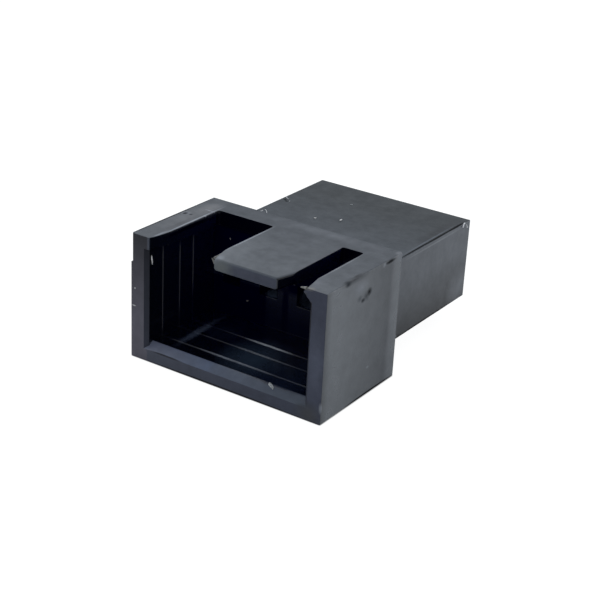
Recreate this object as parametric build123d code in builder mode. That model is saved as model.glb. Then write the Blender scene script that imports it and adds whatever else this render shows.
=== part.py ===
from build123d import *
import os

# Four-way in-line socket housing for a 2.54 mm pitch fan lead, one black moulding.
# X runs across the row of contacts, Y from the mouth to the tail, Z up. The origin is at
# the middle of the bounding box, on the plane that the socket's underside lies in.

# Contact row
contact_pitch = 2.54
contact_count = 4

# Socket cavity, which takes the mating plug
plug_trim = 0.26
plug_side_clearance = 0.07
cavity_height = 5.24
cavity_depth = 5.8

# The core that forms the cavity is stepped: it is wider in front of each of these depths
core_step_depths = [3.83, 2.72, 1.32]
core_step = 0.05

# Socket walls
side_wall = 1.08
floor_wall = 1.04
roof = 0.7
back_wall = 1.4
shroud_edge_radius = 0.05
shroud_tail_radius = 0.04

# Lead-in round the mouth: how far each chamfer runs back, and how much wall it takes
floor_lead_in_depth = 0.54
floor_lead_in_rise = 0.34
side_lead_in_depth = 0.22
side_lead_in_width = 0.21

# Roof: two slots with a keying tongue between them, set off towards the second contact
slot_depth = 5.72
roof_lip = 0.4
tongue_offset = 1.22
tongue_width = 4.5
tongue_corner_radius = 0.2
tongue_underside_radius = 0.2
tongue_nose_radius = 0.15
slot_root_radius = 0.15

# Lead-in of the slots: the tongue narrows and the lips draw back towards the mouth
tongue_flare = 0.27
tongue_flare_depth = 1.05
lip_flare = 0.27
lip_flare_depth = 1.4

# The second lip's inner corner is chipped at the mouth
chip_width = 0.47
chip_height = 0.34
chip_depth = 0.6

# The front edge of the first side wall is worn back at its top
worn_width = 0.11
worn_depth = 0.17
worn_height = 1.65

# Tail block, which holds the contacts. It sits a little below the socket's middle.
tail_length = 9.73
tail_skin = 0.13
tail_height = 4.83
tail_edge_radius = 0.04
tail_drop = 0.055

# Contact cells through the tail, and the windows that their latches spring into
cell_width = 1.9
cell_height = 2.8
cell_lead_in = 0.2
pin_window = 1.2
pin_window_length = 1.6
latch_width = 1.3
latch_length = 2.4
latch_setback = 3.2

# Sizes that follow from the ones above
row_width = contact_pitch * contact_count
step_gain = core_step * len(core_step_depths)
deep_width = row_width - plug_trim + 2 * plug_side_clearance
mouth_width = deep_width + 2 * step_gain
mouth_height = cavity_height + 2 * step_gain
shroud_width = mouth_width + 2 * side_wall
shroud_height = floor_wall + mouth_height + roof
shroud_depth = cavity_depth + back_wall
overall_length = shroud_depth + tail_length
mouth_y = -overall_length / 2
tail_y = overall_length / 2
cavity_middle = floor_wall + mouth_height / 2
slots_half_width = mouth_width / 2 - roof_lip
slot_root_y = mouth_y + slot_depth
tongue_flare_y = mouth_y + tongue_flare_depth
lip_flare_y = mouth_y + lip_flare_depth
tongue_left = tongue_offset - tongue_width / 2
tongue_right = tongue_offset + tongue_width / 2
tail_width = row_width + 2 * tail_skin
tail_middle = shroud_height / 2 - tail_drop
lip_corner_x = slots_half_width + lip_flare * (1 - chip_depth / lip_flare_depth)
lip_corner_z = floor_wall + mouth_height
cell_length = overall_length - cavity_depth - pin_window_length


def section(depth):
    """Upright plane at a depth behind the mouth, facing out of the mouth."""
    return Plane.XZ.offset(-mouth_y - depth)


with BuildPart() as housing:
    # Outside of the socket, its long edges and its tail end rounded
    with BuildSketch(section(shroud_depth)):
        with Locations((0, shroud_height / 2)):
            RectangleRounded(shroud_width, shroud_height, shroud_edge_radius)
    extrude(amount=shroud_depth)
    fillet(housing.faces().sort_by(Axis.Y)[-1].edges(), shroud_tail_radius)

    # Tail block, let into the socket's back wall
    with BuildSketch(section(overall_length)):
        with Locations((0, tail_middle)):
            RectangleRounded(tail_width, tail_height, tail_edge_radius)
    extrude(amount=tail_length + back_wall / 2)
    fillet(housing.faces().sort_by(Axis.Y)[-1].edges(), tail_edge_radius)

    # Front length of the cavity, with the lead-in on its floor and side walls
    with BuildSketch(section(core_step_depths[-1])):
        with Locations((0, cavity_middle)):
            Rectangle(mouth_width, mouth_height)
    extrude(amount=core_step_depths[-1], mode=Mode.SUBTRACT)
    mouth_face = housing.faces().sort_by(Axis.Y)[0]
    mouth_rim = mouth_face.inner_wires()[0].edges()
    chamfer(mouth_rim.filter_by(Axis.Z), side_lead_in_width, side_lead_in_depth, reference=mouth_face)
    mouth_face = housing.faces().sort_by(Axis.Y)[0]
    floor_edge = mouth_face.inner_wires()[0].edges().filter_by(Axis.X).sort_by(Axis.Z)[0]
    chamfer(floor_edge, floor_lead_in_rise, floor_lead_in_depth, reference=mouth_face)

    # Lengths of the cavity behind it, each a step narrower than the one in front
    for gain, depth in enumerate([cavity_depth] + core_step_depths[:-1]):
        with BuildSketch(section(depth)):
            with Locations((0, cavity_middle)):
                Rectangle(deep_width + 2 * gain * core_step, cavity_height + 2 * gain * core_step)
        extrude(amount=depth, mode=Mode.SUBTRACT)

    # Slots in the roof, with the tongue left standing between them
    with BuildSketch() as tongue:
        with BuildLine():
            Polyline(
                (tongue_left, slot_root_y),
                (tongue_left, tongue_flare_y),
                (tongue_left + tongue_flare, mouth_y),
                (tongue_right - tongue_flare, mouth_y),
                (tongue_right, tongue_flare_y),
                (tongue_right, slot_root_y),
                close=True,
            )
        make_face()
        fillet(tongue.vertices().group_by(Axis.Y)[0], tongue_corner_radius)
    with BuildSketch(Plane.XY.offset(shroud_height)) as slots:
        with BuildLine():
            Polyline(
                (-slots_half_width, slot_root_y),
                (-slots_half_width, lip_flare_y),
                (-slots_half_width - lip_flare, mouth_y),
                (slots_half_width + lip_flare, mouth_y),
                (slots_half_width, lip_flare_y),
                (slots_half_width, slot_root_y),
                close=True,
            )
        make_face()
        add(tongue.sketch, mode=Mode.SUBTRACT)
        fillet(slots.vertices().group_by(Axis.Y)[-1], slot_root_radius)
    extrude(amount=cavity_middle - shroud_height, mode=Mode.SUBTRACT)
    nose_edges = housing.edges().filter_by(Axis.X).group_by(Axis.Y)[0]
    tongue_nose = nose_edges.filter_by(lambda edge: tongue_left < edge.center().X < tongue_right)
    fillet(tongue_nose.sort_by(Axis.Z)[-1], tongue_nose_radius)

    # The tongue's lower corner on the first side is worn round
    worn_corner = housing.edges().filter_by(
        lambda edge: abs(edge.center().Z - lip_corner_z) < core_step / 2
        and tongue_left < edge.center().X < 0
        and mouth_y < edge.center().Y < tongue_flare_y
    )
    fillet(worn_corner, tongue_underside_radius)

    # Chip out of the second lip's inner corner at the mouth
    with BuildSketch(section(chip_depth)):
        with BuildLine():
            Polyline(
                (lip_corner_x, lip_corner_z),
                (lip_corner_x, lip_corner_z + chip_height),
                (lip_corner_x + chip_width, lip_corner_z),
                close=True,
            )
        make_face()
    extrude(amount=chip_depth, mode=Mode.SUBTRACT)

    # Worn front edge of the first side wall
    with BuildSketch(Plane.XY.offset(shroud_height - worn_height)):
        with BuildLine():
            Polyline(
                (-shroud_width / 2, mouth_y),
                (-shroud_width / 2 + worn_width, mouth_y),
                (-shroud_width / 2, mouth_y + worn_depth),
                close=True,
            )
        make_face()
    extrude(amount=worn_height, mode=Mode.SUBTRACT)

    # Cells for the contacts, from the tail's end, and the windows for their pins
    with BuildSketch(section(overall_length)):
        with Locations((0, tail_middle)):
            with GridLocations(contact_pitch, 0, contact_count, 1):
                Rectangle(cell_width, cell_height)
    extrude(amount=cell_length, mode=Mode.SUBTRACT)
    tail_face = housing.faces().sort_by(Axis.Y)[-1]
    chamfer([wire.edges() for wire in tail_face.inner_wires()], cell_lead_in)
    with BuildSketch(section(overall_length)):
        with Locations((0, tail_middle)):
            with GridLocations(contact_pitch, 0, contact_count, 1):
                Rectangle(pin_window, pin_window)
    extrude(amount=overall_length - cavity_depth, mode=Mode.SUBTRACT)

    # Latch windows through the tail's underside
    with BuildSketch(Plane.XY.offset(tail_middle)):
        with Locations((0, tail_y - latch_setback)):
            with GridLocations(contact_pitch, 0, contact_count, 1):
                Rectangle(latch_width, latch_length)
    extrude(amount=-tail_height, mode=Mode.SUBTRACT)

housing.part.label = "housing"

os.makedirs("parts", exist_ok=True)
export_step(housing.part, "parts/housing.step")
print("shroud", shroud_width, shroud_height, shroud_depth, "length", overall_length)
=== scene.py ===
# %% [markdown]
# # A fan connector housing in black nylon
# This lesson dresses a small four-way socket housing, 17 mm long. The CAD model already
# holds its true shape, so the work here is light, finish and wear: a satin moulding that
# shows mostly what it reflects, with pale edges, scuffs, a little flash and some lint.
# The frame is loaded first, and its box is kept.

# %% Load the frame
import math

import bpy
from mathutils import Matrix, Vector


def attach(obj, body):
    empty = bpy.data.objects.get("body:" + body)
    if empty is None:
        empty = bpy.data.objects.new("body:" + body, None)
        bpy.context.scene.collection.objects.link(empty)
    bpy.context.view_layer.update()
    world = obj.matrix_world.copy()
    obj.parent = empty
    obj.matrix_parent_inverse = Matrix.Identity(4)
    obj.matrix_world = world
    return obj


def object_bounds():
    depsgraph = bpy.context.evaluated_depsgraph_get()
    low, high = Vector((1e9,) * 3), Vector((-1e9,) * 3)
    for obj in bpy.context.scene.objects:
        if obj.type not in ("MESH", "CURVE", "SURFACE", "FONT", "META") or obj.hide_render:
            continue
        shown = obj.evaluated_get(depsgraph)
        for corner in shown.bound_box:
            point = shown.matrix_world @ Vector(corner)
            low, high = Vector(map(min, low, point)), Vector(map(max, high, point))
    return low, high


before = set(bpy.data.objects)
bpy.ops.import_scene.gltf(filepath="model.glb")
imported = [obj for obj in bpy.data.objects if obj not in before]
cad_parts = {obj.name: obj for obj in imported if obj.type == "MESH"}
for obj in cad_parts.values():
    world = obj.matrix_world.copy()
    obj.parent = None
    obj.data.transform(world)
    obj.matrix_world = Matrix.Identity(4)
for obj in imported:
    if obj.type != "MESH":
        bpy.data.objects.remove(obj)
cad_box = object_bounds()
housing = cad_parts["housing"]
print("CAD box in mm:", [[round(x * 1000, 2) for x in corner] for corner in cad_box])

# %% [markdown]
# A few helpers serve every material. Colours are written as sRGB hex, as a colour picker
# shows them, but shaders work in linear light, so one function converts them. Another adds a
# node, sets its options and joins its inputs, so that each finish reads as a list, and the
# last starts a material with nothing in it.

# %% Colour and node helpers
MM = 0.001


def linear(code):
    """Linear RGBA of an sRGB hex colour."""
    values = [int(code[i:i + 2], 16) / 255 for i in (1, 3, 5)]
    return [v / 12.92 if v <= 0.04045 else ((v + 0.055) / 1.055) ** 2.4 for v in values] + [1]


def add(tree, kind, inputs=None, **settings):
    """Adds a node; inputs are values or the sockets that feed them."""
    node = tree.nodes.new(kind)
    for name, value in settings.items():
        setattr(node, name, value)
    for key, value in (inputs or {}).items():
        if isinstance(value, bpy.types.NodeSocket):
            tree.links.new(value, node.inputs[key])
        else:
            node.inputs[key].default_value = value
    return node


def new_material(name):
    """A material with an empty node tree."""
    material = bpy.data.materials.new(name)
    material.use_nodes = True
    material.node_tree.nodes.clear()
    return material


print("half grey in linear light:", round(linear("#808080")[0], 3))

# %% [markdown]
# The camera stands where the photographer's stood: in front, to the right and above, close
# to a part this small, so the perspective is strong. Its place comes from the corners of
# the housing in the picture. The back, right and up directions make its matrix, and a
# small roll is left from a hand-held shot.

# %% Camera
# Angles in degrees, the place in mm, the lens, and how near and far it sees in metres
AZIMUTH, ELEVATION, ROLL = 33.1568, 24.231, 2.9702
SHIFT_RIGHT, SHIFT_UP, DISTANCE = 4.151, 4.7113, 76.2014
FOCAL_PIXELS, IMAGE_PIXELS, SENSOR_MM = 1436.7414, 600, 36
NEAREST, FARTHEST = 0.005, 10
MOUTH_Y = cad_box[0].y / MM

turn, rise, roll = (math.radians(v) for v in (AZIMUTH, ELEVATION, ROLL))
back = Vector((math.sin(turn) * math.cos(rise), -math.cos(turn) * math.cos(rise), math.sin(rise)))
level_right = Vector((0, 0, 1)).cross(back).normalized()
level_up = back.cross(level_right)
right = level_right * math.cos(roll) + level_up * math.sin(roll)
up = level_up * math.cos(roll) - level_right * math.sin(roll)
place = right * SHIFT_RIGHT + up * SHIFT_UP + back * DISTANCE + Vector((0, MOUTH_Y, 0))

camera_data = bpy.data.cameras.new("camera")
camera_data.sensor_width = SENSOR_MM
camera_data.lens = FOCAL_PIXELS / IMAGE_PIXELS * SENSOR_MM
camera_data.clip_start, camera_data.clip_end = NEAREST, FARTHEST
camera = bpy.data.objects.new("camera", camera_data)
bpy.context.scene.collection.objects.link(camera)
camera.matrix_world = Matrix.Translation(place * MM) @ Matrix((right, up, back)).transposed().to_4x4()
bpy.context.scene.camera = camera
print("camera at", [round(v, 1) for v in place], "mm, lens", round(camera_data.lens, 1), "mm")

# %% [markdown]
# The part lies on white in a light tent. Black plastic has hardly any colour of its own to
# show, so its faces look grey because they mirror the white around them, and more at a
# glancing angle. The world is therefore white to the camera. To reflections it is the same
# white with the cool cast of daylight tubes, and it gives the rest of the light at a plain
# level.

# %% World
AMBIENT = 0.62
WHITE, DAYLIGHT, TENT_WHITE = "#ffffff", "#f0f6ff", "#f4f9ff"

world = bpy.data.worlds.new("light tent")
world.use_nodes = True
tree = world.node_tree
tree.nodes.clear()
path = add(tree, "ShaderNodeLightPath")
mirrors = {0: path.outputs["Is Glossy Ray"], 1: path.outputs["Is Transmission Ray"]}
mirrored = add(tree, "ShaderNodeMath", mirrors, operation="MAXIMUM")
ambient = add(tree, "ShaderNodeBackground", {"Color": linear(DAYLIGHT), "Strength": AMBIENT})
tent = add(tree, "ShaderNodeBackground", {"Color": linear(TENT_WHITE)})
seen = add(tree, "ShaderNodeBackground", {"Color": linear(WHITE)})
lit = add(tree, "ShaderNodeMixShader", {0: mirrored.outputs[0], 1: ambient.outputs[0], 2: tent.outputs[0]})
mixed = add(tree, "ShaderNodeMixShader",
            {0: path.outputs["Is Camera Ray"], 1: lit.outputs[0], 2: seen.outputs[0]})
add(tree, "ShaderNodeOutputWorld", {"Surface": mixed.outputs[0]})
bpy.context.scene.world = world
bpy.context.scene.view_settings.view_transform = "Standard"
print("ambient light:", AMBIENT)

# %% [markdown]
# The floor is a sheet of white card. To the camera it is almost all its own white, with a
# small share of the light that falls on it, so that it still holds a faint shadow. In
# reflections it is mostly card that the tent lights, which is darker close to the part, and
# so the foot of each face darkens as it does on a real table. Right under the foot, where
# hardly any light gets in, the card shows a thin dark line.

# %% Floor
FLOOR_SIZE, FLOOR_DROP = 2.0, 0.01 * MM
CARD_GLOW, CARD_SHARE = 0.95, "#757575"
ECHO_GLOW, CARD_WHITE = 0.30, "#f2f2f2"
# How far the dark line reaches, its own glow, and how open the card is at its two borders
NOOK_REACH, NOOK_GLOW = 0.10 * MM, 0.1
NOOK_CLOSED, NOOK_OPEN = 0.35, 0.85

bpy.ops.object.select_all(action="DESELECT")
bpy.ops.mesh.primitive_plane_add(size=FLOOR_SIZE, location=(0, 0, -FLOOR_DROP))
floor = bpy.context.object
floor.name = "floor"
# Matt white card
card = new_material("white card")
tree = card.node_tree
path = add(tree, "ShaderNodeLightPath")
mirrors = {0: path.outputs["Is Glossy Ray"], 1: path.outputs["Is Transmission Ray"]}
mirrored = add(tree, "ShaderNodeMath", mirrors, operation="MAXIMUM")
plain = add(tree, "ShaderNodeBsdfDiffuse", {"Color": linear(CARD_WHITE)})
share = add(tree, "ShaderNodeBsdfDiffuse", {"Color": linear(CARD_SHARE)})
nook = add(tree, "ShaderNodeAmbientOcclusion", {"Distance": NOOK_REACH}, samples=16)
closed = add(tree, "ShaderNodeMapRange",
             {"Value": nook.outputs["AO"], "From Min": NOOK_CLOSED, "From Max": NOOK_OPEN,
              "To Min": NOOK_GLOW, "To Max": CARD_GLOW})
glow = add(tree, "ShaderNodeEmission", {"Color": linear(WHITE), "Strength": closed.outputs[0]})
cool = add(tree, "ShaderNodeEmission", {"Color": linear(TENT_WHITE), "Strength": ECHO_GLOW})
shown = add(tree, "ShaderNodeAddShader", {0: share.outputs[0], 1: glow.outputs[0]})
echo = add(tree, "ShaderNodeAddShader", {0: plain.outputs[0], 1: cool.outputs[0]})
lit = add(tree, "ShaderNodeMixShader", {0: mirrored.outputs[0], 1: plain.outputs[0], 2: echo.outputs[0]})
mixed = add(tree, "ShaderNodeMixShader",
            {0: path.outputs["Is Camera Ray"], 1: lit.outputs[0], 2: shown.outputs[0]})
add(tree, "ShaderNodeOutputMaterial", {"Surface": mixed.outputs[0]})
floor.data.materials.append(card)
print("floor:", FLOOR_SIZE, "m across")

# %% [markdown]
# Three soft boxes shape the part. One hangs above the mouth to the left, where the sloping
# lead-in of the mouth mirrors it. One stands behind and gives the tops some light, and a
# low one behind on the right brightens the long side.

# %% Lamps
# Name, place in mm, width in mm and watts
LAMPS = [
    ("box over the mouth", (-60, -5, 104), 60, 0.008),
    ("box behind", (-30, 90, 80), 90, 0.020),
    ("box right", (70, 90, 22), 50, 0.020),
]

for name, spot, size, watts in LAMPS:
    lamp_data = bpy.data.lights.new(name, "AREA")
    lamp_data.size = size * MM
    lamp_data.energy = watts
    lamp_data.color = linear(DAYLIGHT)[:3]
    lamp = bpy.data.objects.new(name, lamp_data)
    bpy.context.scene.collection.objects.link(lamp)
    lamp.location = Vector(spot) * MM
    lamp.rotation_euler = (-Vector(spot)).to_track_quat("-Z", "Y").to_euler()
    print(name, "at", spot, "mm,", watts, "W")

# %% [markdown]
# The housing is black nylon, moulded in a spark-eroded steel tool. The tool leaves a satin
# skin outside, while its core, which forms the socket, is polished. A rough skin scatters a
# little blue-grey light and mirrors weakly, and a polished one is black wherever it mirrors
# the dark inside. So the finishes differ in colour and roughness, and both are laid out by
# place: x across the mouth, y back from the mouth and z up, in millimetres. Of two like
# walls, slots, strips or lips, the first is on the left as one looks into the mouth.

# %% Places on the housing
# Planes of the housing in mm: the frame gives the outer ones, and the CAD model the rest
SIDE, ROOF = cad_box[1].x / MM, cad_box[1].z / MM
TAIL_SIDE, TAIL_TOP, TAIL_BASE = 5.21, 6.0, 1.17

# Black nylon, satin outside and polished inside
nylon = new_material("moulded black nylon")
tree = nylon.node_tree
here = add(tree, "ShaderNodeTexCoord")
here_mm = add(tree, "ShaderNodeVectorMath",
              {0: here.outputs["Object"], 1: (1 / MM,) * 3, 2: (0, -MOUTH_Y, 0)}, operation="MULTIPLY_ADD")
at = add(tree, "ShaderNodeSeparateXYZ", {0: here_mm.outputs[0]})
x, y, z = at.outputs[0], at.outputs[1], at.outputs[2]
geometry = add(tree, "ShaderNodeNewGeometry")
facing = add(tree, "ShaderNodeSeparateXYZ", {0: geometry.outputs["True Normal"]})
across = add(tree, "ShaderNodeMath", {0: x}, operation="ABSOLUTE")
print("half the width and the height in mm:", round(SIDE, 2), round(ROOF, 2))

# %% [markdown]
# A mask is 1 where a finish lies and 0 elsewhere. Each simple one follows one value, a place
# or the way that the surface faces, and rises over a short stretch of it, so that finishes
# blend at their borders.

# %% Simple masks
# Name, and the value that it follows, where it is 0 and where it is 1
STRETCHES = {
    "up": (facing.outputs[2], 0.55, 0.9),
    "sideways": (facing.outputs[0], 0.5, 0.85),
    "forwards": (facing.outputs[1], -0.75, -0.95),
    "slanted": (facing.outputs[1], -0.3, -0.5),
    "not forwards": (facing.outputs[1], -0.95, -0.85),
    "within the walls": (across.outputs[0], 5.22, 5.19),
    "within the cells": (across.outputs[0], 5.1, 5.0),
    "right of the tail": (x, 5.1, 5.15),
    "at the mouth": (y, 0.06, 0.02),
    "left wall": (x, -5.1, -5.2),
    "behind the mouth": (y, 0.04, 0.08),
    "in the lead-in": (y, 0.56, 0.53),
    "before the tail": (y, 7.15, 7.1),
    "in the band": (y, 6.1, 6.45),
    "near the front": (y, 1.1, 0.9),
    "left half": (x, -0.8, -1.2),
    "on the tail": (y, 7.16, 7.22),
    "before the end": (y, 16.92, 16.88),
    "deep in the socket": (y, 5.7, 5.78),
    "at the slots' roots": (y, 5.45, 5.55),
    "under the roof": (z, 6.3, 6.5),
    "over the pins": (z, 3.35, 3.4),
    "left of the seam": (x, -1.37, -1.43),
    "in the side lead-in": (y, 0.24, 0.2),
    "off the walls": (across.outputs[0], 5.15, 5.18),
    "off the outside": (across.outputs[0], 5.42, 5.4),
    "over the floor": (z, 1.01, 1.035),
    "under the tail's top": (z, 5.9, 5.8),
    "over the tail's base": (z, 1.2, 1.3),
    "at the roof": (z, 6.9, 7.0),
    "on the tail's top": (z, 5.8, 5.9),
}
mask = {}
for name, (value, start, end) in STRETCHES.items():
    rising = add(tree, "ShaderNodeMapRange", {"Value": value, "From Min": start, "From Max": end})
    mask[name] = rising.outputs[0]
print("simple masks:", len(mask))

# %% [markdown]
# A face such as the tail's top lies where several simple masks hold at once. Their product
# is 1 only there, so the mask of a face is its simple masks multiplied together.

# %% Masks of the faces
# Name, and the masks that all have to hold
OVERLAPS = {
    "socket": ("within the walls", "behind the mouth", "before the tail", "over the floor"),
    "socket end": ("socket", "deep in the socket"),
    "socket end's top": ("socket end", "over the pins"),
    "end wall's left": ("socket end", "left of the seam"),
    "slot roots": ("socket", "at the slots' roots", "under the roof"),
    "side lead-in": ("slanted", "not forwards", "in the side lead-in", "off the walls", "off the outside"),
    "cells": ("within the cells", "on the tail", "before the end", "over the tail's base",
              "under the tail's top"),
    "lead-in": ("up", "slanted", "in the lead-in"),
    "roof": ("up", "at the roof"),
    "tail top": ("up", "on the tail", "on the tail's top"),
    "side": ("sideways", "right of the tail"),
    "side band": ("side", "in the band", "before the tail"),
    "tail side": ("side", "on the tail"),
    "side front": ("side", "near the front"),
    "mouth face": ("forwards", "at the mouth"),
    "left of the mouth": ("mouth face", "left wall"),
    "lead-in's left": ("lead-in", "left half"),
}
for name, parts in OVERLAPS.items():
    both = mask[parts[0]]
    for part in parts[1:]:
        both = add(tree, "ShaderNodeMath", {0: both, 1: mask[part]}, operation="MULTIPLY").outputs[0]
    mask[name] = both
print("masks:", len(mask))

# %% [markdown]
# Each finish is a colour, a roughness and a shine, which is how strongly the skin mirrors.
# They may change along a face, with the texture of the tool, with handling and with painted light and
# shade, so each is given at the two ends of a stretch. Several paint light and shade: painted shade deep
# in the socket, painted light and shade on its end wall, a painted reflection on the lead-in, painted
# light on the long side and painted shade at the foot of the tail's side. The finishes are laid over each
# other in order, each through its mask, on a plain satin skin.

# %% Finishes
PLAIN_SKIN = ("#262d38", 0.5, 0.5)
# Mask, what it follows, from, to, and the colour, roughness and shine at both ends
FINISHES = [
    # Painted shade: the socket is near black and mirrors weakly
    ("socket", y, 0, 6, ("#05070f", 0.16, 0.26), ("#030522", 0.12, 0.30)),
    # Painted light and shade on the end wall: darker low down, lit higher up, and in painted shade on its
    # left and above the pins; the slots' roots in painted shade
    ("socket end", z, 1.8, 3.4, ("#02051e", 0.12, 0.04), ("#060b22", 0.12, 0.26)),
    ("end wall's left", z, 1.8, 3.4, ("#00001a", 0.12, 0.01), ("#00001a", 0.12, 0.01)),
    ("socket end's top", z, 3.4, 3.75, ("#060b22", 0.12, 0.26), ("#00001a", 0.12, 0.0)),
    ("slot roots", z, 6.5, 7.2, ("#00000c", 0.30, 0.01), ("#00000c", 0.30, 0.01)),
    ("cells", y, 7, 17, ("#030507", 0.35, 0.40), ("#030507", 0.35, 0.40)),
    ("side lead-in", z, 1, 7, ("#1a1e2c", 0.62, 0.40), ("#080a14", 0.72, 0.28)),
    # Painted reflection: the lead-in is paler than the nylon, palest on its left under the box over the
    # mouth
    ("lead-in", x, -1, 5, ("#3f4b61", 0.43, 0.50), ("#38414f", 0.50, 0.50)),
    ("lead-in's left", x, -5, -1, ("#626676", 0.36, 0.50), ("#42506a", 0.43, 0.50)),
    ("roof", y, 0, 7.2, ("#262f39", 0.50, 0.50), ("#262d36", 0.62, 0.50)),
    ("tail top", y, 8, 15, ("#262f39", 0.62, 0.50), ("#262b2e", 0.76, 0.50)),
    # Painted light on the long side: pale at the front and dark behind, with a painted dark strip at the
    # mouth's edge and a painted lit band before the tail
    ("side", y, 1.3, 6, ("#505457", 0.30, 0.50), ("#22272c", 0.42, 0.50)),
    ("side front", y, 0.05, 0.6, ("#2a2e31", 0.40, 0.50), ("#505457", 0.30, 0.50)),
    ("side band", y, 6, 7.2, ("#34383d", 0.40, 0.50), ("#4a4e51", 0.26, 0.50)),
    # Painted shade: the tail's side darkens to black at its foot
    ("tail side", z, 1.2, 4.5, ("#000000", 0.50, 0.40), ("#3a3e43", 0.45, 0.50)),
    ("mouth face", x, -6.25, 6.25, ("#262b3b", 0.45, 0.50), ("#262b3b", 0.74, 0.50)),
    ("left of the mouth", z, 2.5, 7.2, ("#413e49", 0.47, 0.50), ("#0a0a14", 0.55, 0.30)),
]
tone, rough, shine = linear(PLAIN_SKIN[0]), PLAIN_SKIN[1], PLAIN_SKIN[2]
for name, along, start, end, first, last in FINISHES:
    way = add(tree, "ShaderNodeMapRange", {"Value": along, "From Min": start, "From Max": end}).outputs[0]
    paint = add(tree, "ShaderNodeMix", {0: way, 6: linear(first[0]), 7: linear(last[0])}, data_type="RGBA")
    laid_on = add(tree, "ShaderNodeMix", {0: mask[name], 6: tone, 7: paint.outputs[2]}, data_type="RGBA")
    tone = laid_on.outputs[2]
    skin = add(tree, "ShaderNodeMapRange", {"Value": way, "To Min": first[1], "To Max": last[1]})
    rough = add(tree, "ShaderNodeMix", {0: mask[name], 2: rough, 3: skin.outputs[0]}).outputs[0]
    gleam = add(tree, "ShaderNodeMapRange", {"Value": way, "To Min": first[2], "To Max": last[2]})
    shine = add(tree, "ShaderNodeMix", {0: mask[name], 2: shine, 3: gleam.outputs[0]}).outputs[0]
print("finishes:", len(FINISHES))

# %% [markdown]
# Handling left marks: rubbed patches where the skin is paler, pits and dents with a raised rim, and nicks.
# Light and shade are painted into marks too: painted shade in the pits, dents and nick and in dark
# hairlines along the long edges, and painted highlights on the dents' rim, beside the nick and along the
# roof's back edge. Each mark is an ellipsoid in the plastic, with a soft or crisp border, that changes the
# skin where it meets the surface and may sink it. The tops come first. They are rubbed palest at the
# mouth, and the strip on the left has a scratch and two pits.

# %% Marks on the tops
# Middle and half sizes in mm, softness of the border, colour, roughness, shine, height in mm
TOP_MARKS = [
    # Rubbed patches, a dark one on the second strip, the duller edge of the tail, and a painted highlight
    # along the roof's back edge
    ((-1.2, 0.4, ROOF), (2.3, 4.2, 0.4), 0.9, "#50565d", 0.50, 0.50, 0),
    ((-0.7, 0.25, 7.2), (0.45, 0.5, 0.3), 0.6, "#6a7078", 0.50, 0.55, 0),
    ((-5.5, 3.9, ROOF), (1.1, 4.0, 0.4), 0.8, "#484b50", 0.52, 0.50, 0),
    ((-5.3, 5.6, ROOF), (0.6, 1.0, 0.4), 0.9, "#5a5b5e", 0.52, 0.50, 0),
    ((5.0, 0.9, ROOF), (0.7, 1.0, 0.3), 0.9, "#454b54", 0.50, 0.50, 0),
    ((6.3, 2.6, ROOF), (0.35, 1.7, 0.3), 0.8, "#161a21", 0.60, 0.47, 0),
    ((4.7, 14.2, TAIL_TOP), (0.50, 3.4, 0.05), 0.9, "#1c2025", 0.76, 0.48, 0),
    # Painted highlight along the roof's rounded back edge
    ((1.9, 6.8, ROOF), (4.6, 0.65, 0.3), 0.95, "#323943", 0.52, 0.50, 0),
    # Scratch and bright spot on the first strip, and the second lip's front edge
    ((-5.1, 5.33, ROOF), (0.42, 0.06, 0.2), 0.8, "#8a9098", 0.45, 0.50, 0),
    ((-4.80, 4.50, ROOF), (0.12, 0.1, 0.06), 0.6, "#a4a8ae", 0.45, 0.50, 0),
    ((5.2, 0.12, ROOF), (0.35, 0.2, 0.15), 0.7, "#565450", 0.50, 0.50, 0),
    # Pits in the first strip in painted shade, the larger one with its rim
    ((-5.85, 4.15, ROOF), (0.34, 0.34, 0.2), 0.5, "#50545c", 0.45, 0.50, 0.01),
    ((-5.88, 4.10, ROOF), (0.17, 0.2, 0.2), 0.6, "#12151c", 0.70, 0.25, -0.03),
    ((-5.54, 4.16, ROOF), (0.14, 0.14, 0.2), 0.7, "#1c2028", 0.70, 0.35, -0.02),
    # Smear on the second strip
    ((6.12, 2.95, ROOF), (0.12, 0.5, 0.2), 0.8, "#10141a", 0.70, 0.40, 0),
]
print("marks on the tops:", len(TOP_MARKS))
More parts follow.
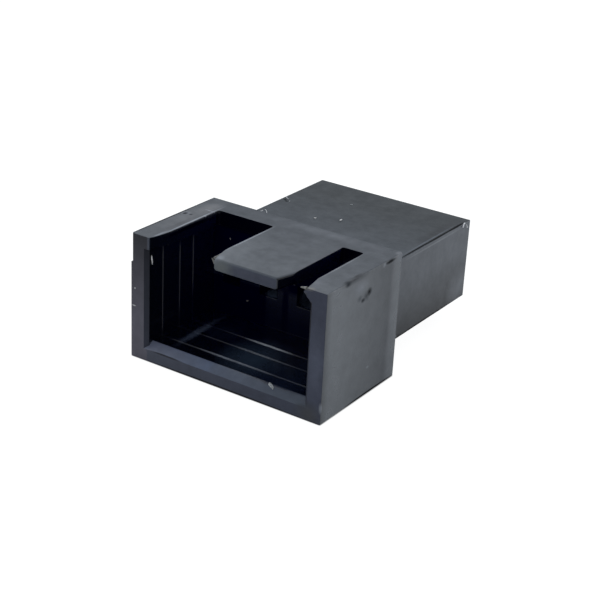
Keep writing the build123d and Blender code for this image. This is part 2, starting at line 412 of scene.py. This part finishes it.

# %% [markdown]
# The mouth's face is paler and duller on the right, in painted shade at its foot, and has a painted
# highlight low on its upright edge; the tongue's corner is pale from plugs that missed. The long side has
# two dents in painted shade under a raised rim with a painted highlight, a nick in its top edge in painted
# shade between two painted highlights, and a pit in painted shade at the strip's outer edge.

# %% Marks on the mouth and the side
MOUTH_MARKS = [
    # The right of the face, and its foot in painted shade
    ((5.75, 0.0, 3.2), (0.7, 0.2, 2.6), 0.8, "#383d4d", 0.66, 0.50, 0),
    ((5.5, 0.0, 0.35), (1.0, 0.2, 0.9), 0.8, "#24262c", 0.66, 0.50, 0),
    # Painted highlight low on the upright edge
    ((SIDE, 0.0, 0.95), (0.16, 0.12, 0.38), 0.7, "#6a6e74", 0.50, 0.50, 0),
    # The tongue's pale front corner, and its lower one, out of the light
    ((-0.3, 0.0, 6.9), (0.9, 0.3, 0.7), 0.8, "#4a4f4f", 0.50, 0.50, 0),
    ((3.46, 1.1, 6.70), (0.20, 0.5, 0.3), 0.5, "#00000c", 0.30, 0.0, 0),
]
SIDE_MARKS = [
    # The tail's lower back corner, rubbed, and a pale speck on the socket's side
    ((TAIL_SIDE, 16.2, 2.0), (0.3, 1.6, 1.4), 0.8, "#44474b", 0.45, 0.50, 0),
    ((SIDE, 4.37, 1.62), (0.1, 0.17, 0.09), 0.8, "#686c70", 0.50, 0.50, 0),
    # Pit at the second strip's outer edge, in painted shade
    ((SIDE, 1.90, 7.20), (0.28, 0.34, 0.21), 0.8, "#1e2227", 0.80, 0.26, -0.02),
    # Rim over the dents with a painted highlight, then the dents in painted shade
    ((SIDE, 3.20, 6.55), (0.2, 0.85, 0.50), 0.9, "#585c62", 0.40, 0.55, 0.01),
    ((SIDE, 3.12, 5.98), (0.2, 0.30, 0.22), 0.9, "#34373c", 0.60, 0.40, 0),
    ((SIDE, 3.76, 5.94), (0.2, 0.36, 0.34), 0.9, "#24272c", 0.60, 0.32, -0.01),
    ((SIDE, 4.02, 6.10), (0.2, 0.27, 0.27), 0.9, "#08090c", 0.80, 0.10, -0.03),
    ((SIDE, 3.42, 5.79), (0.2, 0.24, 0.16), 0.9, "#101218", 0.80, 0.16, -0.02),
    # Nick in the top edge in painted shade, between two painted highlights
    ((SIDE, 5.98, 7.15), (0.16, 0.62, 0.13), 0.7, "#08090c", 0.80, 0.10, -0.02),
    ((SIDE, 5.38, 7.12), (0.12, 0.20, 0.17), 0.9, "#5c6066", 0.40, 0.55, 0),
    ((6.2, 7.0, 7.1), (0.3, 0.4, 0.35), 0.8, "#50545a", 0.40, 0.50, 0),
]
print("marks on the mouth and the side:", len(MOUTH_MARKS), len(SIDE_MARKS))

# %% [markdown]
# Inside, light and shade are painted on the socket: painted light on the floor where light falls in
# through the mouth and the first slot, and painted shade on the floor's sides, the first wall and the end
# wall. The core has three small steps, and each left a line across the floor: a sharp ridge with a painted
# highlight in the middle that fades at the sides. The passages behind the two middle pin windows are paler
# with painted light from behind.

# %% Painted light and shade inside the socket
SOCKET_LIGHT_AND_SHADE = [
    # Painted light on the floor: its right, its middle and a band along it under the first slot
    ((3.0, 1.6, 1.05), (2.6, 2.2, 0.14), 0.5, "#161d2f", 0.16, 0.30, 0),
    ((0.4, 2.3, 1.1), (2.2, 2.6, 0.3), 0.8, "#2d3949", 0.20, 0.35, 0),
    ((-3.84, 3.3, 1.1), (0.34, 3.1, 0.14), 0.7, "#40485a", 0.35, 0.33, 0),
    # The three steps of the core, with painted highlights in the middle of the floor
    ((-0.3, 1.32, 1.1), (2.7, 0.09, 0.14), 0.7, "#70757f", 0.30, 0.35, 0),
    ((0.4, 2.74, 1.1), (1.5, 0.09, 0.14), 0.7, "#5a606a", 0.30, 0.35, 0),
    ((0.3, 3.84, 1.15), (1.7, 0.09, 0.14), 0.6, "#999da3", 0.30, 0.35, 0),
    # Painted shade: both sides of the floor, and the first wall above and below
    ((3.6, 3.3, 1.14), (1.5, 1.1, 0.16), 0.5, "#10172a", 0.16, 0.12, 0),
    ((-2.6, 3.6, 1.14), (1.1, 1.1, 0.16), 0.5, "#0c1224", 0.16, 0.15, 0),
    ((-5.1, 2.7, 6.7), (0.3, 2.4, 0.9), 0.5, "#02041c", 0.16, 0.04, 0),
    ((-5.1, 4.4, 2.0), (0.3, 1.9, 1.8), 0.5, "#02041c", 0.16, 0.04, 0),
    # Painted shade on the end wall between the two lit passages under the tongue
    ((-0.08, 5.8, 2.4), (0.26, 0.1, 2.2), 0.4, "#00001a", 0.12, 0.03, 0),
    # Painted light in the passages behind the two middle pin windows
    ((-1.1, 6.6, 3.2), (0.75, 0.85, 0.9), 0.3, "#424c60", 0.50, 0.30, 0),
    ((1.2, 6.9, 3.2), (0.95, 1.09, 0.9), 0.3, "#424c60", 0.50, 0.30, 0),
]
print("marks inside the socket:", len(SOCKET_LIGHT_AND_SHADE))

# %% [markdown]
# Some marks run straight: painted highlights along the rims of the slots and on either side of the tail's
# top edge, dark hairlines of painted shade in the first slot, along the tail's top edge and at the foot,
# and dark lines along the first strip's outer edge and the lead-in's lower edge. With them are painted
# shadows beside the lint and a few pale specks. They are long, thin ellipsoids of the same kind.

# %% Fine lines
LINES = [
    # The first slot's wall in painted shade and its rim with a painted highlight, then painted highlights
    # on the rims of the tongue and the second lip
    ((-4.75, 2.9, 7.06), (0.08, 3.4, 0.20), 0.5, "#00000c", 0.30, 0.0, 0),
    ((-4.85, 3.4, ROOF), (0.09, 3.2, 0.06), 0.7, "#868c94", 0.45, 0.50, 0),
    ((-4.95, 0.75, ROOF), (0.14, 0.9, 0.05), 0.8, "#767c84", 0.45, 0.50, 0),
    ((-0.97, 3.4, ROOF), (0.08, 2.6, 0.1), 0.7, "#767c84", 0.45, 0.50, 0),
    ((4.83, 3.4, ROOF), (0.07, 2.4, 0.1), 0.7, "#50565e", 0.45, 0.50, 0),
    # The tail's long top edge: a painted highlight on either side of a dark line of painted shade in three
    # lengths
    ((4.94, 12.3, TAIL_TOP), (0.08, 3.6, 0.05), 0.8, "#3c444e", 0.60, 0.50, 0),
    ((TAIL_SIDE, 12.8, 5.81), (0.06, 3.8, 0.08), 0.8, "#565a5e", 0.36, 0.55, 0),
    ((5.09, 10.9, TAIL_TOP), (0.08, 2.2, 0.08), 0.4, "#08090c", 0.80, 0.10, 0),
    ((5.11, 13.3, TAIL_TOP), (0.09, 1.8, 0.08), 0.4, "#08090c", 0.80, 0.10, 0),
    ((5.12, 15.3, TAIL_TOP), (0.10, 1.3, 0.08), 0.4, "#08090c", 0.80, 0.08, 0),
    # The foot of the side, of the tail and of the mouth's face in painted shade, and the first strip's
    # outer edge
    ((SIDE, 4.7, 0.0), (0.3, 3.2, 0.16), 0.4, "#000000", 0.80, 0.03, 0),
    ((TAIL_SIDE, 12.0, TAIL_BASE), (0.3, 4.7, 0.14), 0.4, "#000000", 0.80, 0.10, 0),
    ((0.0, 0.0, 0.0), (6.1, 0.3, 0.13), 0.4, "#0a0b10", 0.80, 0.30, 0),
    ((-SIDE, 3.2, ROOF), (0.15, 4.4, 0.12), 0.4, "#06070a", 0.80, 0.0, 0),
    # The tail's foot just behind the socket in painted shade, with a pale dot, and the lower edge of the
    # lead-in
    ((TAIL_SIDE, 8.9, 1.2), (0.1, 0.9, 0.28), 0.8, "#0a0c0e", 0.70, 0.20, 0),
    ((TAIL_SIDE, 9.08, 1.36), (0.1, 0.07, 0.05), 0.7, "#8a8e90", 0.60, 0.50, 0),
    ((-3.8, 0.0, 0.7), (1.3, 0.1, 0.05), 0.5, "#14161e", 0.60, 0.30, 0),
    # Painted shadows beside the lint
    ((-4.95, 12.50, TAIL_TOP), (0.16, 0.11, 0.06), 0.6, "#020406", 0.80, 0.02, 0),
    ((-4.72, 12.32, TAIL_TOP), (0.16, 0.11, 0.06), 0.6, "#020406", 0.80, 0.02, 0),
    ((-3.15, 7.20, 7.26), (0.10, 0.10, 0.1), 0.6, "#020406", 0.80, 0.02, 0),
    # Pale specks on the mouth's face
    ((-6.0, 0.0, 4.12), (0.06, 0.1, 0.06), 0.7, "#c8c8c4", 0.60, 0.50, 0),
    ((-6.07, 0.0, 3.08), (0.16, 0.1, 0.045), 0.7, "#c8c8c4", 0.60, 0.50, 0),
]
print("lines:", len(LINES))

# %% [markdown]
# The marks are laid over the finishes one after another. A little noise on the position
# makes the borders of the patches, pits and dents ragged, and the lines keep straight. The
# distance from an ellipsoid's middle, counted in half sizes, is 1 at its border.

# %% Lay the marks
RAGGED_MM, RAGGED_WAVE_MM = 0.08, 0.4

wave = add(tree, "ShaderNodeTexNoise",
           {"Vector": here_mm.outputs[0], "Scale": 1 / RAGGED_WAVE_MM, "Detail": 3.0, "Roughness": 0.6})
shift = add(tree, "ShaderNodeVectorMath",
            {0: wave.outputs[1], 1: (RAGGED_MM,) * 3, 2: (-RAGGED_MM / 2,) * 3}, operation="MULTIPLY_ADD")
ragged = add(tree, "ShaderNodeVectorMath", {0: here_mm.outputs[0], 1: shift.outputs[0]}, operation="ADD")
height = 0.0
for base, marks in ((ragged, TOP_MARKS + MOUTH_MARKS + SIDE_MARKS + SOCKET_LIGHT_AND_SHADE), (here_mm, LINES)):
    for middle, half, soft, colour, skin, gleam, lift in marks:
        shrunk = [1 / size for size in half]
        centred = [-spot / size for spot, size in zip(middle, half)]
        offset = add(tree, "ShaderNodeVectorMath", {0: base.outputs[0], 1: shrunk, 2: centred},
                     operation="MULTIPLY_ADD")
        reach = add(tree, "ShaderNodeVectorMath", {0: offset.outputs[0]}, operation="LENGTH")
        inside = add(tree, "ShaderNodeMapRange",
                     {"Value": reach.outputs[1], "From Min": 1, "From Max": 1 - soft}).outputs[0]
        paint = add(tree, "ShaderNodeMix", {0: inside, 6: tone, 7: linear(colour)}, data_type="RGBA")
        tone = paint.outputs[2]
        rough = add(tree, "ShaderNodeMix", {0: inside, 2: rough, 3: skin}).outputs[0]
        shine = add(tree, "ShaderNodeMix", {0: inside, 2: shine, 3: gleam}).outputs[0]
        if lift:
            raised = add(tree, "ShaderNodeMath", {0: inside, 1: lift, 2: height}, operation="MULTIPLY_ADD")
            height = raised.outputs[0]
print("nodes so far:", len(tree.nodes))

# %% [markdown]
# The grain is what the sparks leave, pits some hundredths of a millimetre wide. It is drawn
# twice that width here, so that it still shows, and stays off the polished socket. Over it
# lie soft clouds, where the melt filled the tool unevenly, which change the roughness and
# the colour a little. The Bevel node rounds the light on the edges.

# %% Grain, clouds and edges
GRAIN_MM, GRAIN_DEPTH_MM, CLOUD_MM = 0.09, 0.006, 0.8
# The clouds' noise runs mostly between these values, and this is how much they change
CLOUD_LOW, CLOUD_HIGH = 0.3, 0.7
CLOUD_ROUGHNESS, CLOUD_TONE = 0.05, 0.15
EDGE_ROUND, NYLON_IOR = 0.06 * MM, 1.55

grain = add(tree, "ShaderNodeTexNoise",
            {"Vector": here_mm.outputs[0], "Scale": 1 / GRAIN_MM, "Detail": 2.0, "Roughness": 0.6})
cloud = add(tree, "ShaderNodeTexNoise",
            {"Vector": here_mm.outputs[0], "Scale": 1 / CLOUD_MM, "Detail": 4.0, "Roughness": 0.65})
drift = add(tree, "ShaderNodeMapRange",
            {"Value": cloud.outputs[0], "From Min": CLOUD_LOW, "From Max": CLOUD_HIGH,
             "To Min": -CLOUD_ROUGHNESS, "To Max": CLOUD_ROUGHNESS})
rough = add(tree, "ShaderNodeMath", {0: rough, 1: drift.outputs[0]}, operation="ADD").outputs[0]
bloom = add(tree, "ShaderNodeMapRange",
            {"Value": cloud.outputs[0], "From Min": CLOUD_LOW, "From Max": CLOUD_HIGH,
             "To Min": 1 + CLOUD_TONE, "To Max": 1 - CLOUD_TONE})
tone = add(tree, "ShaderNodeVectorMath", {0: tone, 1: bloom.outputs[0]}, operation="MULTIPLY").outputs[0]
outer = add(tree, "ShaderNodeMath", {0: 1.0, 1: mask["socket"]}, operation="SUBTRACT")
deep = add(tree, "ShaderNodeMath", {0: outer.outputs[0], 1: GRAIN_DEPTH_MM}, operation="MULTIPLY")
relief = add(tree, "ShaderNodeMath", {0: grain.outputs[0], 1: deep.outputs[0], 2: height},
             operation="MULTIPLY_ADD")
rounded = add(tree, "ShaderNodeBevel", {"Radius": EDGE_ROUND}, samples=6)
bump = add(tree, "ShaderNodeBump",
           {"Height": relief.outputs[0], "Distance": MM, "Normal": rounded.outputs[0]})
surface = add(tree, "ShaderNodeBsdfPrincipled",
              {"Base Color": tone, "Roughness": rough, "IOR": NYLON_IOR, "Specular IOR Level": shine,
               "Normal": bump.outputs[0]})
add(tree, "ShaderNodeOutputMaterial", {"Surface": surface.outputs[0]})

for slot in housing.material_slots:
    slot.link = "OBJECT"
    slot.material = nylon
print("housing faces:", len(housing.data.polygons), "slots:", len(housing.material_slots))

# %% [markdown]
# The bits on the housing have plain finishes of their own. Lint, grit, dust and shavings are
# rough, and paler than the moulding. Flash that was bent has turned pale too, and where the
# nylon tore it is as dark as the rest. Each finish mixes two colours by a fine noise, so that
# no bit is one flat colour.

# %% Finishes of the small pieces
# Each small finish: the size of its mottle in mm, the two colours that it mixes, its roughness
SMALL_FINISHES = {
    "pale cotton lint": (0.11, "#d8d6d2", "#ffffff", 0.9),
    "white grit": (0.08, "#b4b2ae", "#f4f2ee", 0.95),
    "grey dust": (0.08, "#3a3634", "#7a7470", 0.95),
    "nylon shavings": (0.08, "#74787a", "#c4c6c4", 0.9),
    "bent nylon flash": (0.2, "#42413e", "#8e8c86", 0.6),
    "torn nylon": (0.2, "#20242f", "#323746", 0.6),
}
MOTTLE_LOW, MOTTLE_HIGH = 0.3, 0.65

small = {}
for name, (mottle, dark, light, dullness) in SMALL_FINISHES.items():
    small[name] = new_material(name)
    tree = small[name].node_tree
    here = add(tree, "ShaderNodeTexCoord")
    noise = add(tree, "ShaderNodeTexNoise",
                {"Vector": here.outputs["Object"], "Scale": 1 / mottle / MM, "Detail": 2.0})
    blend = add(tree, "ShaderNodeMapRange",
                {"Value": noise.outputs[0], "From Min": MOTTLE_LOW, "From Max": MOTTLE_HIGH})
    shade = add(tree, "ShaderNodeMix", {0: blend.outputs[0], 6: linear(dark), 7: linear(light)},
                data_type="RGBA")
    skin = add(tree, "ShaderNodeBsdfPrincipled", {"Base Color": shade.outputs[2], "Roughness": dullness})
    add(tree, "ShaderNodeOutputMaterial", {"Surface": skin.outputs[0]})
print("small finishes:", len(small))

# %% [markdown]
# The small pieces are each modelled once and copied. A finished piece keeps its object at
# the origin and has its place in its mesh, so a copy's corners are moved by a matrix. Its
# columns are the ways that the piece points, each times a size.

# %% Laying copies
def laid(source, name, middle, ways, sizes, material):
    """A copy of a piece with its own mesh, laid at a place in mm measured from the mouth."""
    first = Vector(ways[0]).normalized()
    third = first.cross(Vector(ways[1])).normalized()
    second = third.cross(first)
    columns = [way * size * MM for way, size in zip((first, second, third), sizes)]
    turned = Matrix(columns).transposed().to_4x4()
    copy = bpy.data.objects.new(name, source.data.copy())
    bpy.context.scene.collection.objects.link(copy)
    spot = (Vector(middle) + Vector((0, MOUTH_Y, 0))) * MM
    copy.data.transform(Matrix.Translation(spot) @ turned)
    copy.data.materials.clear()
    copy.data.materials.append(material)
    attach(copy, "root")
    return copy


print("places are measured from the mouth, at y", round(MOUTH_Y, 3), "mm")

# %% [markdown]
# Lint clings to the edges: pale fibres, a few hundredths of a millimetre thick and about
# half a millimetre long. One fibre is a curve with a small round bevel, turned into a mesh
# so that it can be copied. Each copy is turned, stretched and laid where the picture shows
# one.

# %% Lint
FIBRE_RADIUS, FIBRE_THINNING = 0.055, 0.8
# The two ends of a fibre of length 1, each with its place and the two handles that bend it
FIBRE_ENDS = [
    ((-0.5, 0, 0), (-0.6, -0.1, -0.3), (-0.3, 0.1, 0.4)),
    ((0.5, 0.05, 0), (0.25, 0.2, 0.45), (0.7, -0.1, -0.2)),
]

bpy.ops.object.select_all(action="DESELECT")
bpy.ops.curve.primitive_bezier_curve_add()
fibre = bpy.context.object
for point, (spot, before, after) in zip(fibre.data.splines[0].bezier_points, FIBRE_ENDS):
    point.handle_left_type = point.handle_right_type = "FREE"
    point.co, point.handle_left, point.handle_right = spot, before, after
    point.radius = FIBRE_THINNING
fibre.data.dimensions = "3D"
fibre.data.resolution_u = 10
fibre.data.bevel_depth, fibre.data.bevel_resolution = FIBRE_RADIUS, 2
fibre.data.use_fill_caps = True
bpy.ops.object.convert(target="MESH")
fibre = bpy.context.object
bpy.ops.object.shade_smooth()

# Name, middle in mm, the way it runs, the way across it, and three sizes in mm: its length, and
# what scales its bends and its thickness across that way and square to it
FIBRES = [
    ("fibre_tail_corner", (5.27, 16.24, 5.74), (0, 0.76, -0.25), (-1, 0, 0), (0.66, 0.8, 0.75)),
    ("fibre_tail_left", (-4.78, 12.56, 6.05), (0.56, -0.40, 0), (0, 0, -1), (0.60, 0.7, 0.25)),
    ("fibre_socket_1", (-3.07, 7.34, 7.20), (0.10, 0.28, 0), (0, 0, 1), (0.30, 0.4, 0.30)),
    ("fibre_socket_2", (-4.56, 9.98, 6.04), (0.50, -0.55, 0), (0.7, 0.7, 0), (0.70, 0.3, 0.12)),
]
for name, middle, run, over, sizes in FIBRES:
    laid(fibre, name, middle, (run, over), sizes, small["pale cotton lint"])
bpy.data.objects.remove(fibre)
print("fibres:", len(FIBRES))

# %% [markdown]
# The crumbs are white grit and grey dust, and shavings of nylon scraped off by a plug. A pale flake of
# grit on the first wall is a painted highlight, laid where that wall shows a glint. One crumb is an
# icosphere that is knocked out of round by moving its corners at random, and smoothed. Its copies are
# squashed flat, and differ in turn and size.

# %% Crumbs
import random

CRUMB_JITTER = 0.32
chance = random.Random(5)


def smooth(piece):
    """Rounds a piece off with one level of subdivision."""
    smoothing = piece.modifiers.new("smoothing", "SUBSURF")
    smoothing.levels = smoothing.render_levels = 1
    bpy.ops.object.modifier_apply(modifier=smoothing.name)
    bpy.ops.object.shade_smooth()


bpy.ops.object.select_all(action="DESELECT")
bpy.ops.mesh.primitive_ico_sphere_add(subdivisions=2, radius=0.5)
crumb = bpy.context.object
for corner in crumb.data.vertices:
    corner.co *= 1 + chance.uniform(-CRUMB_JITTER, CRUMB_JITTER)
smooth(crumb)

# Name, middle in mm, the way it lies, the way across it, its three sizes in mm and its finish
CRUMBS = [
    ("crumb_tail_1", (-1.83, 11.07, 6.02), (0.13, 0.17, 0), (-1, 1, 0), (0.19, 0.11, 0.06),
     "white grit"),
    ("crumb_tail_2", (-0.50, 11.76, 6.03), (-0.08, 0.5, 0), (-1, 0, 0), (0.32, 0.11, 0.07),
     "white grit"),
    ("crumb_tail_3", (-1.41, 14.35, 6.02), (1, 0, 0), (0, 1, 0), (0.13, 0.13, 0.05),
     "nylon shavings"),
    ("crumb_end_wall_high", (-3.96, 5.77, 5.78), (0.5, 0, -1), (1, 0, 0), (0.16, 0.08, 0.06),
     "grey dust"),
    ("crumb_end_wall_low", (-2.65, 5.77, 2.34), (1, 0, 0.3), (0, 0, 1), (0.18, 0.10, 0.06),
     "grey dust"),
    # A pale flake that stands in for a glint on the first wall: a painted highlight
    ("glint_flake_first_wall", (-5.13, 0.37, 5.90), (0, 0.07, -0.50), (0, 1, 0), (0.60, 0.09, 0.05),
     "white grit"),
    ("flake_lead_in", (2.86, 0.42, 0.98), (0.6, -0.31, -0.197), (1, 0, 0), (0.58, 0.17, 0.05),
     "nylon shavings"),
]
for name, middle, lie, over, sizes, finish in CRUMBS:
    laid(crumb, name, middle, (lie, over), sizes, small[finish])
bpy.data.objects.remove(crumb)
print("crumbs:", len(CRUMBS))

# %% [markdown]
# Flash is the thin nylon that squeezes into a gap of the tool. Two shreds of it run along
# the tongue's corner and one stands at the second lip's tip, where bending has turned them
# pale. The lip's corner is broken there, and two thicker burrs are what is left. One shred
# is a small block that is cut finer, drawn to a point at one end, knocked uneven and
# smoothed.

# %% Flash
SHRED_POINT, SHRED_JITTER = 0.25, 0.07

bpy.ops.object.select_all(action="DESELECT")
bpy.ops.mesh.primitive_cube_add(size=1)
shred = bpy.context.object
bpy.ops.object.mode_set(mode="EDIT")
bpy.ops.mesh.select_all(action="SELECT")
bpy.ops.mesh.subdivide(number_cuts=4)
bpy.ops.object.mode_set(mode="OBJECT")
for corner in shred.data.vertices:
    taper = SHRED_POINT + (1 - SHRED_POINT) * (corner.co.x + 0.5)
    corner.co.y *= taper
    corner.co.z *= taper
    corner.co += Vector([chance.uniform(-SHRED_JITTER, SHRED_JITTER) for _ in range(3)])
smooth(shred)

# Name, middle in mm, the way from its point, the way across it, its three sizes in mm, its finish
SHREDS = [
    ("flash_lip_tip", (4.74, 0.16, 7.19), (0.9, 0, 0.1), (0, 1, 0), (0.36, 0.16, 0.14),
     "bent nylon flash"),
    ("burr_lip_top", (4.98, 0.24, 7.12), (1, -0.2, 0), (0, 1, 0), (0.40, 0.34, 0.26),
     "bent nylon flash"),
    ("burr_lip_side", (5.11, 0.19, 6.80), (-0.55, 0, 1), (0, 1, 0), (0.74, 0.3, 0.34),
     "torn nylon"),
    ("flash_tongue_side", (-0.93, 0.66, 7.2), (0.12, -0.9, 0), (1, 0, 0), (0.90, 0.12, 0.10),
     "bent nylon flash"),
    ("flash_tongue_corner", (-0.86, 0.14, 7.09), (0.35, 0.35, -0.9), (0, 1, 0), (0.36, 0.14, 0.09),
     "bent nylon flash"),
]
for name, middle, run, over, sizes, finish in SHREDS:
    laid(shred, name, middle, (run, over), sizes, small[finish])
bpy.data.objects.remove(shred)
print("shreds:", len(SHREDS))
